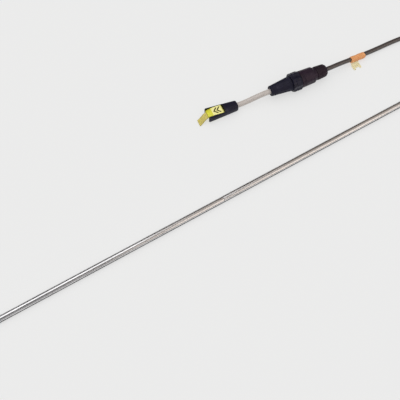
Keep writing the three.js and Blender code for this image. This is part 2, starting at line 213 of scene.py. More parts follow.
def refined(profile, step, closed):
    """Adds points so that no stretch of the profile is longer than step."""
    result = []
    count = len(profile)
    for i in range(count if closed else count - 1):
        a = np.array(profile[i], float)
        b = np.array(profile[(i + 1) % count], float)
        pieces = max(1, int(math.ceil(np.linalg.norm(b - a) / step)))
        for k in range(pieces):
            result.append(tuple(a + (b - a) * k / pieces))
    if not closed:
        result.append(tuple(profile[-1]))
    return result


def revolve(profile, sides, closed, shape):
    """Vertices and faces of a profile turned about X. shape(x, r, angle) may change each radius."""
    vertices = []
    rows = len(profile)
    for k in range(sides):
        angle = 2 * math.pi * k / sides
        for x, r in profile:
            radius = shape(x, r, angle) if shape else r
            vertices.append((x, radius * math.cos(angle), radius * math.sin(angle)))
    faces = []
    for k in range(sides):
        for i in range(rows if closed else rows - 1):
            j = (i + 1) % rows
            a, b = k * rows, ((k + 1) % sides) * rows
            faces.append((a + i, a + j, b + j, b + i))
    return vertices, faces


def turned_piece(name, profile, matrix, sides=72, closed=True, shape=None, step=None, sharp=35.0):
    """A turned shape from a profile of [x, r, corner radius] points; an open profile ends on the axis."""
    line = rounded(profile, closed)
    if step:
        line = refined(line, step, closed)
    vertices, faces = revolve(line, sides, closed, shape)
    return new_piece(name, vertices, faces, matrix, sharp)


def catmull(points, per_span):
    """A centripetal Catmull-Rom line through the points, as the CAD model's routes use."""
    p = [np.array(q, float) for q in points]
    p = [2 * p[0] - p[1]] + p + [2 * p[-1] - p[-2]]
    line = []
    for i in range(1, len(p) - 2):
        knots = [0.0]
        for k in range(3):
            knots.append(knots[-1] + np.linalg.norm(p[i + k] - p[i + k - 1]) ** 0.5)
        t0, t1, t2, t3 = knots
        for k in range(per_span):
            t = t1 + (t2 - t1) * k / per_span
            a1 = (t1 - t) / (t1 - t0) * p[i - 1] + (t - t0) / (t1 - t0) * p[i]
            a2 = (t2 - t) / (t2 - t1) * p[i] + (t - t1) / (t2 - t1) * p[i + 1]
            a3 = (t3 - t) / (t3 - t2) * p[i + 1] + (t - t2) / (t3 - t2) * p[i + 2]
            b1 = (t2 - t) / (t2 - t0) * a1 + (t - t0) / (t2 - t0) * a2
            b2 = (t3 - t) / (t3 - t1) * a2 + (t - t1) / (t3 - t1) * a3
            line.append((t2 - t) / (t2 - t1) * b1 + (t - t1) / (t2 - t1) * b2)
    line.append(p[-2])
    return np.array(line)


def spaced(line, step):
    """The same line with even steps."""
    lengths = np.concatenate([[0], np.cumsum(np.linalg.norm(np.diff(line, axis=0), axis=1))])
    count = max(2, int(round(lengths[-1] / step)) + 1)
    marks = np.linspace(0, lengths[-1], count)
    return np.stack([np.interp(marks, lengths, line[:, k]) for k in range(3)], axis=1), marks


def frames_along(line):
    """Tangent and two side vectors at each point, turning as little as possible."""
    tangents = np.gradient(line, axis=0)
    tangents /= np.linalg.norm(tangents, axis=1)[:, None]
    side = np.cross(tangents[0], (0, 0, 1.0))
    side /= np.linalg.norm(side)
    found = []
    for t in tangents:
        side = side - t * np.dot(side, t)
        side /= np.linalg.norm(side)
        found.append((t, side, np.cross(t, side)))
    return found


def wall_faces(rings, sides, first=0):
    """The wall through rings of points that follow each other, from the vertex first on."""
    faces = []
    for i in range(rings - 1):
        for k in range(sides):
            a = first + i * sides + k
            b = first + i * sides + (k + 1) % sides
            faces.append((a, b, b + sides, a + sides))
    return faces


def capped_faces(rings, sides):
    """A flat cap for each end, and then the wall."""
    caps = [tuple(range(sides))[::-1], tuple(range((rings - 1) * sides, rings * sides))]
    return caps + wall_faces(rings, sides)


def sheet_faces(rows, columns, solid=lambda i, j: True):
    """A thin plate between two grids of (rows + 1) by (columns + 1) points, closed at its rims."""
    sheet = (rows + 1) * (columns + 1)

    def at(i, j, side):
        return side * sheet + i * (columns + 1) + j

    def filled(i, j):
        return 0 <= i < rows and 0 <= j < columns and solid(i, j)

    faces = []
    for i in range(rows):
        for j in range(columns):
            if not filled(i, j):
                continue
            corners = [(i, j), (i, j + 1), (i + 1, j + 1), (i + 1, j)]
            for side in (0, 1):
                faces.append(tuple(at(*corner, side) for corner in corners))
            beyond = [(i - 1, j), (i, j + 1), (i + 1, j), (i, j - 1)]
            for k, neighbour in enumerate(beyond):
                a, b = corners[k], corners[(k + 1) % 4]
                if not filled(*neighbour):
                    faces.append((at(*a, 0), at(*b, 0), at(*b, 1), at(*a, 1)))
    return faces


def swept(line, sides, radius):
    """Vertices and faces of a capped tube along line. radius(index, angle) or a number."""
    vertices = []
    get = radius if callable(radius) else lambda i, angle: radius
    for i, (point, (_, u, v)) in enumerate(zip(line, frames_along(line))):
        for k in range(sides):
            angle = 2 * math.pi * k / sides
            vertices.append(point + get(i, angle) * (math.cos(angle) * u + math.sin(angle) * v))
    return vertices, capped_faces(len(line), sides)


# ---- material helpers ----
def fill_ramp(ramp, stops):
    """Stops are pairs of a position and a colour, which is one number for a grey."""
    elements = ramp.color_ramp.elements
    while len(elements) < len(stops):
        elements.new(0.5)
    for element, (position, color) in zip(elements, stops):
        element.position = position
        element.color = (*color, 1.0) if isinstance(color, tuple) else (color, color, color, 1.0)


class Paint:
    """A node material on one Principled shader."""

    def __init__(self, name, color, roughness, metallic=0.0, **inputs):
        self.material = bpy.data.materials.new(name)
        self.material.use_nodes = True
        self.tree = self.material.node_tree
        self.shader = self.tree.nodes["Principled BSDF"]
        self.set("Base Color", (*color, 1.0))
        self.set("Roughness", roughness)
        self.set("Metallic", metallic)
        for key, value in inputs.items():
            self.set(key.replace("_", " "), value)

    def set(self, socket, value):
        self.shader.inputs[socket].default_value = value

    def node(self, kind, **values):
        made = self.tree.nodes.new(kind)
        for key, value in values.items():
            setattr(made, key, value)
        return made

    def link(self, a, b):
        self.tree.links.new(a, b)

    def where(self, scale, source):
        """Scaled coordinates: the object's own, in metres at rest, or the texture coordinates."""
        coordinates = self.node("ShaderNodeTexCoord")
        mapping = self.node("ShaderNodeMapping")
        mapping.inputs["Scale"].default_value = scale
        self.link(coordinates.outputs[source], mapping.inputs["Vector"])
        return mapping.outputs["Vector"]

    def noise(self, scale, detail=4.0, rough=0.55, source="Object"):
        """Scale is one number, or one for each axis."""
        made = self.node("ShaderNodeTexNoise")
        made.inputs["Scale"].default_value = 1.0
        made.inputs["Detail"].default_value = detail
        made.inputs["Roughness"].default_value = rough
        axes = scale if isinstance(scale, tuple) else (scale, scale, scale)
        self.link(self.where(axes, source), made.inputs["Vector"])
        return made.outputs["Fac"]

    def wave(self, direction, scale, distortion, source):
        made = self.node("ShaderNodeTexWave", wave_type="BANDS", bands_direction=direction)
        made.inputs["Scale"].default_value = 1.0
        made.inputs["Distortion"].default_value = distortion
        self.link(self.where(scale, source), made.inputs["Vector"])
        return made.outputs["Fac"]

    def ramp(self, value, stops):
        made = self.node("ShaderNodeValToRGB")
        fill_ramp(made, stops)
        self.link(value, made.inputs["Fac"])
        return made.outputs["Color"]

    def color_from(self, value, stops):
        self.link(self.ramp(value, stops), self.shader.inputs["Base Color"])

    def rough_from(self, value, low, high):
        made = self.node("ShaderNodeMapRange")
        made.inputs["From Min"].default_value = 0.3
        made.inputs["From Max"].default_value = 0.7
        made.inputs["To Min"].default_value = low
        made.inputs["To Max"].default_value = high
        self.link(value, made.inputs["Value"])
        self.link(made.outputs["Result"], self.shader.inputs["Roughness"])

    def bump(self, value, strength, distance):
        made = self.node("ShaderNodeBump")
        made.inputs["Strength"].default_value = strength
        made.inputs["Distance"].default_value = distance
        self.link(value, made.inputs["Height"])
        self.link(made.outputs["Normal"], self.shader.inputs["Normal"])


def tinted(color, factor):
    return tuple(min(1.0, c * factor) for c in color)


def brushed(name, color, roughness, along):
    """Drawn metal whose fine lines run along X or Y."""
    paint = Paint(name, color, roughness, 1.0)
    scale = (6, 2600, 2600) if along == "x" else (2600, 6, 2600)
    lines = paint.noise(scale, 3.0, 0.6)
    cloud = paint.noise(18, 3.0)
    paint.color_from(cloud, [(0.3, tinted(color, 0.9)), (0.7, tinted(color, 1.08))])
    paint.rough_from(lines, roughness - 0.08, roughness + 0.1)
    paint.bump(lines, 0.25, 0.00006)
    return paint.material


def turned_metal(name, color, roughness):
    """Turned or bead-blasted metal: a fine even grain under a faint cloud."""
    paint = Paint(name, color, roughness, 1.0)
    fine = paint.noise(900, 3.0)
    cloud = paint.noise(60, 3.0)
    paint.color_from(cloud, [(0.3, tinted(color, 0.85)), (0.7, tinted(color, 1.1))])
    paint.rough_from(fine, roughness - 0.07, roughness + 0.1)
    paint.bump(fine, 0.2, 0.00005)
    return paint.material


def moulded(name, color, worn, roughness, grain=1400.0, strength=0.35, gloss=0.5):
    """Moulded plastic or rubber: fine grain, cloudy tone and a few pale rubbed spots."""
    paint = Paint(name, color, roughness, Specular_IOR_Level=gloss)
    cloud = paint.noise(90, 5.0, 0.65)
    paint.color_from(cloud, [(0.3, tinted(color, 0.8)), (0.6, tinted(color, 1.2)), (0.74, worn)])
    paint.rough_from(paint.noise(240, 3.0), roughness - 0.08, roughness + 0.1)
    paint.bump(paint.noise(grain, 2.0), strength, 0.00012)
    return paint.material


def extruded(name, color, pale, roughness, gloss):
    """A cable jacket: fine lines and tone that run with the jacket's texture coordinates."""
    paint = Paint(name, color, roughness, Specular_IOR_Level=gloss)
    lines = paint.noise((60, 150, 1), 3.0, 0.5, "UV")
    paint.color_from(lines, [(0.3, tinted(color, 0.85)), (0.6, color), (0.8, pale)])
    paint.rough_from(paint.noise(300, 3.0), roughness - 0.07, roughness + 0.08)
    paint.bump(lines, 0.3, 0.0001)
    return paint.material


def stranded(name, color):
    """Laid steel cable: slantwise wires with painted shade in the valleys between them and a painted
    highlight on their crests.
    """
    paint = Paint(name, color, 0.34, 1.0)
    wires = paint.wave("DIAGONAL", (180, 180, 63), 0.3, "Object")
    # Painted shade: the ramp darkens the valleys between the wires, and a painted highlight lightens their
    # crests.
    paint.color_from(wires, [(0.1, tinted(color, 0.35)), (0.5, color), (0.9, tinted(color, 1.2))])
    paint.bump(wires, 0.5, 0.0003)
    return paint.material


def webbing(name, color, edge):
    """Woven polyester tape. Its u runs from 0 to 1 across it, and its v along it, in tape widths. Its rims
    carry painted shade, in the edge colour, where the tape's edges turn away from the light.
    """
    paint = Paint(name, color, 0.85, Sheen_Weight=0.35, Sheen_Roughness=0.4)
    weave = paint.node("ShaderNodeMath", operation="MULTIPLY")
    paint.link(paint.wave("X", (3.2, 1, 1), 0.6, "UV"), weave.inputs[0])
    paint.link(paint.wave("Y", (1, 4.5, 1), 0.8, "UV"), weave.inputs[1])
    tones = [(0.0, tinted(color, 0.62)), (0.35, color), (1.0, tinted(color, 1.25))]
    shade = paint.ramp(weave.outputs["Value"], tones)
    split = paint.node("ShaderNodeSeparateXYZ")
    paint.link(paint.where((1, 1, 1), "UV"), split.inputs["Vector"])
    # Painted shade: the rim mask darkens the tape towards both edges with the edge colour.
    rim = paint.ramp(split.outputs["X"], [(0.0, 1.0), (0.1, 0.0), (0.9, 0.0), (1.0, 1.0)])
    mix = paint.node("ShaderNodeMix", data_type="RGBA")
    paint.link(rim, mix.inputs["Factor"])
    paint.link(shade, mix.inputs[6])
    mix.inputs[7].default_value = (*edge, 1.0)
    paint.link(mix.outputs[2], paint.shader.inputs["Base Color"])
    paint.bump(weave.outputs["Value"], 0.8, 0.0003)
    return paint.material


def printed(name, color, stain, roughness):
    """Glossy printed plastic with light handling marks."""
    paint = Paint(name, color, roughness, Coat_Weight=0.15, Coat_Roughness=0.25)
    grime = paint.noise(110, 5.0, 0.7)
    paint.color_from(grime, [(0.35, color), (0.6, tinted(color, 0.94)), (0.85, stain)])
    paint.rough_from(paint.noise(400, 3.0), roughness - 0.08, roughness + 0.12)
    paint.bump(paint.noise(900, 2.0), 0.2, 0.00008)
    return paint.material


def shrink_sleeve(name, color, pale):
    """Heat-shrunk plastic: a slightly lit-through skin with soft wrinkles."""
    paint = Paint(name, color, 0.55, Subsurface_Weight=0.08)
    cloud = paint.noise(150, 5.0, 0.65)
    paint.color_from(cloud, [(0.3, tinted(color, 0.85)), (0.55, color), (0.8, pale)])
    paint.rough_from(cloud, 0.45, 0.7)
    paint.bump(paint.noise(420, 4.0, 0.7), 0.5, 0.0002)
    return paint.material


def film(name, color):
    """A translucent plastic film."""
    paint = Paint(name, color, 0.25, Transmission_Weight=0.35, Alpha=0.82)
    paint.color_from(paint.noise(180), [(0.35, tinted(color, 0.9)), (0.7, color)])
    paint.rough_from(paint.noise(500, 3.0), 0.2, 0.4)
    paint.bump(paint.noise(260, 3.0), 0.4, 0.0002)
    return paint.material


ALUMINIUM = (0.74, 0.73, 0.74)
TUBE_X = brushed("tube_drawn_x", ALUMINIUM, 0.3, "x")
TUBE_Y = brushed("tube_drawn_y", ALUMINIUM, 0.3, "y")
ALLOY = turned_metal("ferrule_anodised", (0.3, 0.31, 0.34), 0.4)
TIP_STEEL = turned_metal("tip_steel", (0.5, 0.5, 0.52), 0.32)
PIN_STEEL = turned_metal("pin_steel", (0.46, 0.46, 0.48), 0.3)
BRASS = turned_metal("brass", (0.62, 0.46, 0.2), 0.33)
CABLE = stranded("laid_steel_cable", (0.52, 0.52, 0.53))
BLACK = moulded("black_plastic", (0.009, 0.008, 0.022), (0.036, 0.034, 0.056), 0.42, gloss=0.26)
PLUM = moulded("plum_black_plastic", (0.022, 0.01, 0.022), (0.05, 0.032, 0.046), 0.44, gloss=0.26)
RUBBER = moulded("black_rubber", (0.01, 0.009, 0.024), (0.036, 0.034, 0.054), 0.6, 2200.0, 0.5, 0.22)
PLUM_RUBBER = moulded(
    "plum_black_rubber", (0.02, 0.009, 0.017), (0.045, 0.03, 0.038), 0.58, 2200.0, 0.5, 0.22
)
DARK_STEEL = turned_metal("blackened_steel", (0.06, 0.058, 0.062), 0.45)
JACKET = extruded("dark_jacket", (0.058, 0.044, 0.042), (0.19, 0.155, 0.145), 0.24, 0.9)
PALE_JACKET = extruded("pale_jacket", (0.58, 0.52, 0.48), (0.78, 0.73, 0.69), 0.3, 0.8)
YELLOW = printed("yellow_plastic", (0.8, 0.77, 0.03), (0.5, 0.45, 0.05), 0.4)
CREAM = printed("cream_label", (1.0, 0.93, 0.36), (0.8, 0.7, 0.22), 0.42)
MARK = printed("olive_ink", (0.09, 0.075, 0.006), (0.16, 0.13, 0.02), 0.5)
# The second colour is the painted shade on the tape's rims.
WEBBING = webbing("yellow_webbing", (0.86, 0.71, 0.19), (0.36, 0.29, 0.05))
ORANGE = shrink_sleeve("orange_sleeve", (0.88, 0.36, 0.13), (0.95, 0.58, 0.36))
FILM = film("pale_film", (1.0, 0.91, 0.56))

# ---- free cable ----
SHEATH_ROUTE = [
    (1.8, 0, 5), (10, 0, 5), (20, 0.3, 4.9), (33, 1.4, 4.7), (50, 5.8, 4.3), (67, 14, 4.1),
    (81, 27, 4), (91, 43, 4), (94, 61, 4), (89, 80, 4), (76, 96, 4), (57, 106.5, 4),
    (36, 111, 4), (14, 113.2, 4), (-8, 114.3, 4.1), (-26, 115, 4.7), (-42, 115.6, 5.9),
    (-58, 116, 7.6), (-74, 116.2, 9.8), (-90, 116.4, 12.3), (-104, 116.4, 14.2),
    (-114, 116.7, 15), (-123.28, 117.53, 15.2), (-140.2, 119.3, 15.2), (-168.03, 122.23, 15.2),
]
LEAD_ROUTE = [
    (-298.4, 139.3, 8), (-287, 137.45, 8), (-280, 136.3, 8.2), (-270, 134.8, 9.2),
    (-258, 133.1, 11.3), (-246, 131.2, 13.6), (-236, 129.6, 14.9), (-227.7, 128.5, 15.2),
    (-200, 125.59, 15.2), (-168.4, 122.27, 15.2),
]
SHEATH_LINE, SHEATH_MARKS = spaced(catmull(SHEATH_ROUTE, 12), 2.5)
LEAD_LINE, LEAD_MARKS = spaced(catmull(LEAD_ROUTE, 12), 2.5)


def add_running_uv(piece, marks, sides, width):
    """u runs round the tube, v along it in the given width."""
    mesh = piece.data
    layer = mesh.uv_layers.new(name="along")
    for polygon in mesh.polygons:
        turns = [i % sides for i in polygon.vertices]
        wraps = len(turns) == 4 and max(turns) - min(turns) > 1
        for corner in polygon.loop_indices:
            index = mesh.loops[corner].vertex_index
            around = index % sides
            if wraps and around == 0:
                around = sides
            row = min(index // sides, len(marks) - 1)
            layer.data[corner].uv = (around / sides, marks[row] / width)


def add_jacket(name, line, marks, radius):
    sides, texture_width = 28, 7.0
    piece = new_piece(name, *swept(line, sides, radius))
    add_running_uv(piece, marks, sides, texture_width)
    return piece


cable_jacket = add_jacket("cable_jacket", SHEATH_LINE, SHEATH_MARKS, SHEATH_R)
finish_piece(cable_jacket, "top_section", "sheath_plastic", JACKET, "cable_sheath")
lead_jacket = add_jacket("lead_jacket", LEAD_LINE, LEAD_MARKS, LEAD_R)
finish_piece(lead_jacket, "top_section", "lead_plastic", PALE_JACKET, "cable_lead")


# ---- probe sections ----
BODIES = {
    1: "top_section",
    2: "second_section",
    3: "third_section",
    4: "fourth_section",
    5: "fifth_section",
    6: "tip_section",
}
FOLD_X = -2 * SECTION - GAP - LINK_REACH
FOLD_R = BUNDLE_PITCH / 2
LOW_PIVOT_Y = FOLD_R
HIGH_MOUTH_Y = LOW_PIVOT_Y + LINK_REACH + FERRULE_OUT + SECTION
HIGH_PIVOT_Y = HIGH_MOUTH_Y + LINK_REACH


def bundle_x(number):
    """The place along X of a section of the folded bundle."""
    return FOLD_X - FOLD_R - (number - 3) * BUNDLE_PITCH


def section_frame(number):
    """X runs towards the section's upper end, which is at x = 0."""
    if number == 1:
        return placed(0, 0, TUBE_R, 0)
    if number == 2:
        return placed(-SECTION - GAP, 0, TUBE_R, 0)
    if number % 2:
        return placed(bundle_x(number), LOW_PIVOT_Y + LINK_REACH + FERRULE_OUT, TUBE_R, -90)
    return placed(bundle_x(number), HIGH_MOUTH_Y - FERRULE_OUT, TUBE_R, 90)


def add_tube(number):
    end = -LAST_TUBE if number == 6 else -SECTION
    profile = [
        (end, BORE_R, 0.15),
        (end, TUBE_R, 0.3),
        (0, TUBE_R, 0.3),
        (0, BORE_R, 0.15),
    ]
    piece = turned_piece(f"probe_tube_{number}", profile, section_frame(number), 96)
    material = TUBE_X if number < 3 else TUBE_Y
    finish_piece(piece, BODIES[number], "tube_aluminium", material, f"section_{number}_tube")


def add_ferrule(number):
    """The plug that joins a section to the one above it, with a shallow groove near its end."""
    groove, floor = 27.0, FERRULE_R - 0.35
    profile = [
        (-FERRULE_IN, FERRULE_BORE_R, 0.1),
        (-FERRULE_IN, FERRULE_R, 0.2),
        (groove - 1.0, FERRULE_R, 0.1),
        (groove - 0.8, floor, 0.1),
        (groove + 0.8, floor, 0.1),
        (groove + 1.0, FERRULE_R, 0.1),
        (FERRULE_OUT - 1.4, FERRULE_R, 0.5),
        (FERRULE_OUT, FERRULE_R - 0.5, 0.3),
        (FERRULE_OUT, FERRULE_BORE_R, 0.15),
    ]
    piece = turned_piece(f"joint_ferrule_{number}", profile, section_frame(number), 72)
    finish_piece(piece, BODIES[number], "ferrule_alloy", ALLOY, f"section_{number}_ferrule")


def add_mouth_bush():
    bore, plug = CORE_R + GAP, BORE_R - 0.1
    profile = [
        (-8, bore, 0.2),
        (-8, plug, 0.1),
        (GAP, plug, 0.05),
        (GAP, TUBE_R, 0.2),
        (1.5, TUBE_R, 0.6),
        (1.5, bore, 0.2),
    ]
    piece = turned_piece("mouth_grommet", profile, section_frame(1), 72)
    finish_piece(piece, "top_section", "black_plastic", BLACK, "mouth_bush")


def add_tip():
    """A cone with a narrow groove behind it, bored for the stud that holds it."""
    end, groove, bore = -LAST_TUBE, TUBE_R - 0.5, 2.5
    profile = [
        (end - TIP_LENGTH, 0, 0),
        (end - TIP_LENGTH + 0.3, 0.75, 0.3),
        (end - 20, 3.05, 2.0),
        (end - 10, TUBE_R, 1.6),
        (end - 4, TUBE_R, 0.3),
        (end - 3.2, groove, 0.2),
        (end - 2.4, groove, 0.2),
        (end - 1.8, TUBE_R, 0.2),
        (end - GAP, TUBE_R, 0.2),
        (end - GAP, bore, 0.1),
        (end - 14, bore, 0.1),
        (end - 14, 0, 0),
    ]
    piece = turned_piece("tip_cone", profile, section_frame(6), 72, closed=False)
    finish_piece(piece, "tip_section", "tip_steel", TIP_STEEL, "probe_tip")


# ---- cable bared at the folds ----
def laid_radius(line):
    """The outline of a laid cable: round strands that wind along it."""
    strands, lay_length = 6, 14.0
    step = float(np.linalg.norm(line[1] - line[0]))

    def radius(index, angle):
        phase = angle * strands / 2 - math.pi * strands * index * step / lay_length
        return CORE_R * (0.84 + 0.16 * abs(math.cos(phase)))

    return radius


def bend_point(pivot, angle):
    """The place on a bend round the pivot, at an angle in degrees."""
    turn = math.radians(angle)
    return (pivot[0] + FOLD_R * math.cos(turn), pivot[1] + FOLD_R * math.sin(turn), TUBE_R)


def add_fold_link(number, pivot, angles, ends, turns_left=True):
    """The bared cable between a section and the next one: a bend round the pivot, with straight ends."""
    steps = 8
    turns = [angles[0] + (angles[1] - angles[0]) * i / steps for i in range(steps + 1)]
    lead_in, lead_out = [(pivot[0] + x, pivot[1] + y, TUBE_R) for x, y in ends]
    route = [lead_in] + [bend_point(pivot, turn) for turn in turns] + [lead_out]
    line = spaced(catmull(route, 8), 0.5)[0]
    shape = swept(line, 36, laid_radius(line))
    piece = new_piece(f"bared_cable_{number}_{number + 1}", *shape, sharp=0)
    piece.data.materials.append(CABLE)
    if turns_left:
        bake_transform(piece)
    else:
        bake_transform(piece)
    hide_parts(f"fold_link_{number}_{number + 1}")


def add_first_fold_link():
    """The quarter bend from the joined sections into the bundle."""
    reach = LINK_REACH - GAP
    add_fold_link(2, (FOLD_X, LOW_PIVOT_Y), (270, 180), [(reach, -FOLD_R), (-FOLD_R, reach)])


def add_bundle_fold_link(number):
    """A half bend between two neighbours of the bundle, at its high or its low end."""
    high = number % 2 == 1
    pivot = (bundle_x(number) - FOLD_R, HIGH_PIVOT_Y if high else LOW_PIVOT_Y)
    side = (LINK_REACH - GAP) * (-1 if high else 1)
    angles = (0, 180 if high else -180)
    add_fold_link(number, pivot, angles, [(FOLD_R, side), (-FOLD_R, side)], turns_left=not high)


def add_joint_cable():
    """The cable through the joint of the first two sections, which shows when they are pulled apart."""
    reach, radius = 50.0, CORE_R + 0.08
    line = np.array([(x, 0, TUBE_R) for x in np.linspace(reach - SECTION, -reach - SECTION, 60)])
    sides = 24
    vertices = swept(line, sides, radius)[0]
    piece = new_piece("joint_cable_1_2", vertices, wall_faces(len(line), sides), sharp=0)
    piece.data.materials.append(CABLE)
    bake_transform(piece)


for section in range(1, 7):
    add_tube(section)
    if section > 1:
        add_ferrule(section)
    node_material(f"section_{section}_cable", CABLE)
add_mouth_bush()
add_tip()
add_first_fold_link()
for section in (3, 4, 5):
    add_bundle_fold_link(section)
add_joint_cable()


# ---- cable lock ----
def fluted(first, last, count, depth):
    """Shallow lengthwise flutes between two places, fading out at both ends; the bore stays round."""
    bore = 7.0

    def shape(x, r, angle):
        if r < bore or not first < x < last:
            return r
        share = (x - first) / (last - first)
        fade = min(1.0, 5 * share, 5 * (1 - share))
        return r - depth * fade * (0.5 + 0.5 * math.cos(count * angle)) ** 2

    return shape


def add_lock_nose():
    """The boot that the lead leaves from: it widens towards the collar between two beads."""
    wide, inner = 12.5, 8.3
    profile = [
        (0, LOCK_BORE_R, 0.3),
        (0, 8.1, 0.8),
        (0.9, 8.8, 0.6),
        (3.4, 9.1, 0.3),
        (3.8, 8.7, 0.3),
        (5.0, 8.8, 0.3),
        (5.4, 9.3, 0.3),
        (33.4, 12.2, 0.4),
        (33.9, 11.8, 0.3),
        (34.9, 11.9, 0.3),
        (35.3, wide, 0.4),
        (NOSE_LENGTH, wide, 0.6),
        (NOSE_LENGTH, inner, 0.3),
        (10, inner, 0.3),
        (8, LOCK_BORE_R, 0.3),
    ]
    shape = fluted(7.5, 32.0, 10, 0.55)
    piece = turned_piece("lock_nose_boot", profile, LOCK, 120, shape=shape, step=1.2)
    finish_piece(piece, "top_section", "black_rubber", RUBBER, "lock_nose")


def add_lock_barrel():
    """The grooved shell behind the collar, with a stub in the nose and a sleeve for the end ring."""
    start = COLLAR_END + GAP
    stub, core, wide, sleeve, bore = 8.0, 10.5, 14.5, 6.4, 5.5
    collet_bore, bore_step, sleeve_end = 6.7, 51.0, CAP_START - GAP
    profile = [
        (18, collet_bore, 0.2),
        (18, stub, 0.3),
        (COLLAR_START, stub, 0.1),
        (COLLAR_START, core, 0.2),
        (start, core, 0.1),
        (start, wide, 0.7),
        (59.3, wide, 0.5),
        (59.7, 13.8, 0.3),
        (60.9, 13.8, 0.3),
        (61.3, 14.4, 0.5),
        (79.5, 13.8, 1.0),
        (81.5, 11.6, 0.8),
        (BARREL_END, 11.4, 0.5),
        (BARREL_END, sleeve, 0.3),
        (sleeve_end, sleeve, 0.2),
        (sleeve_end, bore, 0.2),
        (bore_step, bore, 0.2),
        (bore_step, collet_bore, 0.2),
    ]
    shape = fluted(62.5, 79.0, 8, 0.5)
    piece = turned_piece("lock_barrel_shell", profile, LOCK, 120, shape=shape, step=1.2)
    finish_piece(piece, "top_section", "black_plastic", PLUM, "lock_barrel")


def add_lock_collar():
    """An eight-sided grip: flats with scooped middles between rounded corners, turned ends."""
    flat, corner, face, bore = LOCK_START[2], 16.35, 14.6, 10.8
    turn = math.radians(45)
    scoop_depth, groove_depth, groove_at = 0.75, 0.45, COLLAR_START + 5.6
    profile = [
        (COLLAR_START, bore, 0.3),
        (COLLAR_START, face, 0.8),
        (COLLAR_START + 1.4, corner, 1.0),
        (COLLAR_END - 1.4, corner, 1.0),
        (COLLAR_END, face, 0.8),
        (COLLAR_END, bore, 0.3),
    ]

    def shape(x, r, angle):
        if r < bore + 1.2:
            return r
        from_flat = (angle + turn / 2) % turn - turn / 2
        limit = min(corner, flat / math.cos(from_flat))
        share = (x - COLLAR_START) / (COLLAR_END - COLLAR_START)
        ends = min(1.0, 6 * share, 6 * (1 - share))
        scoop = scoop_depth * ends * max(0.0, math.cos(from_flat * math.pi / turn)) ** 2
        groove = groove_depth * math.exp(-((x - groove_at) / 0.7) ** 2)
        return min(r, limit) - scoop - groove

    piece = turned_piece("grip_collar", profile, LOCK, 192, shape=shape, step=0.6, sharp=50.0)
    finish_piece(piece, "collar", "black_plastic", BLACK, "lock_collar")


def add_release_ring():
    """The textured end ring that is pulled back: a cup with room for its spring."""
    start, end, floor_end = 85.4, 103.0, 88.4
    bore, inner = 6.7, 8.9
    profile = [
        (start, bore, 0.2),
        (start, 11.3, 0.6),
        (start + 1.2, 11.8, 0.6),
        (end - 1.8, 10.9, 0.6),
        (end, 10.1, 0.5),
        (end, inner, 0.1),
        (floor_end, inner, 0.2),
        (floor_end, bore, 0.2),
    ]
    first, last, pitch, depth = 89.0, 101.4, 4.1, 0.6

    def knurl(x, r, angle):
        if r < 10.0 or not first < x < last:
            return r
        fade = min(1.0, (x - first) / 0.8, (last - x) / 0.8)
        rows = 0.5 + 0.5 * math.cos(20 * angle)
        bands = 0.5 + 0.5 * math.cos(2 * math.pi * (x - first) / pitch)
        return r - depth * fade * (rows * bands) ** 0.8

    piece = turned_piece("release_grip", profile, LOCK, 200, shape=knurl, step=0.55, sharp=60.0)
    finish_piece(piece, "release", "black_rubber", PLUM_RUBBER, "release_ring")


def add_end_cap():
    bore, rim = 5.6, 8.6
    profile = [
        (CAP_START, bore, 0.2),
        (CAP_START, rim, 0.1),
        (LOCK_LENGTH, rim, 0.6),
        (LOCK_LENGTH, bore, 0.5),
    ]
    piece = turned_piece("end_cap", profile, LOCK, 72)
    finish_piece(piece, "top_section", "black_plastic", BLACK, "lock_end_cap")


def add_release_spring():
    """A coil in the end ring, wound from near its floor towards the cap."""
    turns, start, end, coil_r, wire_r = 5, 89.2, 102.6, 7.65, 0.45
    steps = 20 * turns
    points = []
    for i in range(steps + 1):
        share = i / steps
        angle = 2 * math.pi * turns * share
        points.append((start + (end - start) * share, coil_r * math.cos(angle), coil_r * math.sin(angle)))
    piece = new_piece("return_spring", *swept(np.array(points), 10, wire_r), LOCK)
    finish_piece(piece, "top_section", "pin_steel", PIN_STEEL, "release_spring")
    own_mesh(piece)


add_lock_nose()
add_lock_barrel()
add_lock_collar()
add_release_ring()
add_end_cap()
add_release_spring()


# ---- pull handle ----
def handle_ring(x, width, height, power, count):
    """A superellipse across the handle at x: a rounded rectangle that is squarer for a higher power."""
    ring = []
    for k in range(count):
        angle = 2 * math.pi * k / count
        c, s = math.cos(angle), math.sin(angle)
        y = width / 2 * math.copysign(abs(c) ** (2 / power), c)
        z = HANDLE_Z + height / 2 * math.copysign(abs(s) ** (2 / power), s)
        ring.append((x, y, z))
    return ring


def solid_block(name, x0, x1, y0, y1, z0, z1):
    corners = [(x, y, z) for x in (x0, x1) for y in (y0, y1) for z in (z0, z1)]
    faces = [(0, 1, 3, 2), (4, 6, 7, 5), (0, 4, 5, 1), (2, 3, 7, 6), (0, 2, 6, 4), (1, 5, 7, 3)]
    return new_piece(name, corners, faces, HANDLE, sharp=0)


def round_bar(name, start, end, radius, matrix, sides):
    profile = [(start, 0, 0), (start, radius, 0), (end, radius, 0), (end, 0, 0)]
    return turned_piece(name, profile, matrix, sides, closed=False)


def cut_away(piece, tools):
    for tool in tools:
        modifier = piece.modifiers.new("cut", "BOOLEAN")
        modifier.operation = "DIFFERENCE"
        modifier.solver = "EXACT"
        modifier.object = tool
    apply_modifiers(piece)
    for tool in tools:
        bpy.data.objects.remove(tool)


def apply_modifiers(piece):
    bpy.context.view_layer.update()
    graph = bpy.context.evaluated_depsgraph_get()
    mesh = bpy.data.meshes.new_from_object(piece.evaluated_get(graph))
    old = piece.data
    piece.modifiers.clear()
    piece.data = mesh
    bpy.data.meshes.remove(old)


